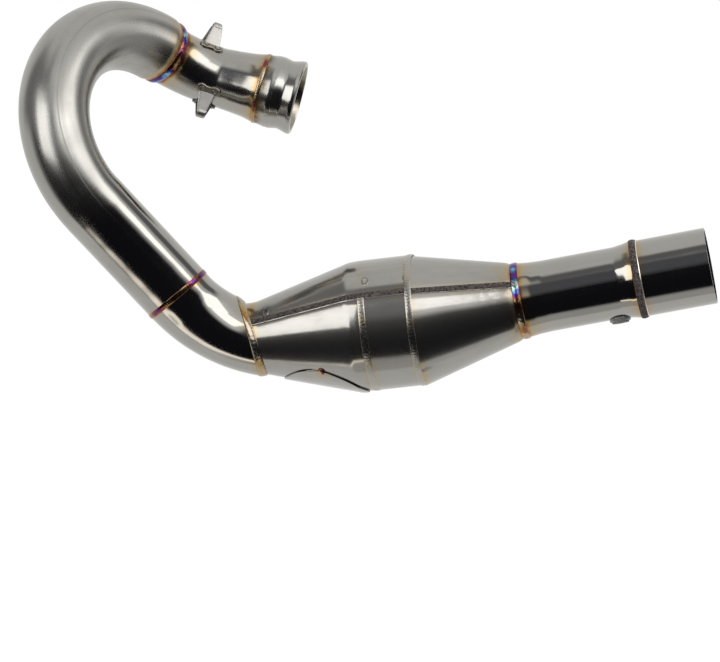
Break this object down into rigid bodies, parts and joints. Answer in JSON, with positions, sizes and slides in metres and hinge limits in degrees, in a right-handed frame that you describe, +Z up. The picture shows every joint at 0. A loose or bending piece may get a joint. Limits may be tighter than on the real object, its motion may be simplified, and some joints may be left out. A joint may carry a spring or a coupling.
{
  "type": "motorcycle exhaust header",
  "caption": "Looped stainless motorcycle exhaust header with a port collar, spring hooks, a stamped expansion chamber and an outlet sleeve.",
  "frame": {"origin": "centre of the port collar's open face, where the header meets the cylinder head; the header hangs from there as fitted", "axes": "+X towards the outlet, along the header's greatest length; +Y away from the side with the badge plate's tack weld and the near seam; +Z up"},
  "size_m": [0.4633, 0.1482, 0.2657],
  "materials": {
    "collar_steel": "machined stainless steel with fine turning lines",
    "brushed_tube": "satin brushed stainless tube with light heat tint near its welds",
    "polished_tube": "near-mirror polished stainless tube",
    "polished_shell": "near-mirror polished stainless pressing",
    "hook_steel": "pressed stainless strip",
    "spot_steel": "resistance spot welds, dull and dark",
    "weld_tinted": "rippled bead with gold and brown heat tint",
    "weld_rainbow": "rippled bead with blue, purple and gold heat tint",
    "weld_dark": "rough dark fusion weld",
    "badge_steel": "bare polished plate",
    "boss_steel": "dull grey boss",
    "plug_dark": "dark grey plug"
  },
  "bodies": {
    "root": {"port_collar": "collar_steel", "collar_weld": "weld_tinted", "inlet_tube": "brushed_tube", "spring_hook_upper": "hook_steel", "spring_hook_lower": "hook_steel", "spot_welds_upper": "spot_steel", "spot_welds_lower": "spot_steel", "bend_weld": "weld_rainbow", "main_bend": "brushed_tube", "lower_weld": "weld_rainbow", "elbow": "polished_tube", "chamber_inlet_weld": "weld_tinted", "front_shell_upper": "polished_shell", "front_shell_lower": "polished_shell", "band_lower": "polished_shell", "half_band_weld": "weld_dark", "band_weld": "weld_dark", "rear_shell_upper": "polished_shell", "rear_shell_lower": "polished_shell", "seam_front_near": "weld_dark", "seam_front_far": "weld_dark", "seam_rear_near": "weld_dark", "seam_rear_far": "weld_dark", "badge_plate": "badge_steel", "badge_tack": "weld_tinted", "chamber_outlet_weld": "weld_rainbow", "outlet_tube": "polished_tube", "test_boss": "boss_steel", "test_plug": "plug_dark", "sleeve_weld": "weld_dark", "outlet_sleeve": "polished_tube"}
  },
  "joints": []
}
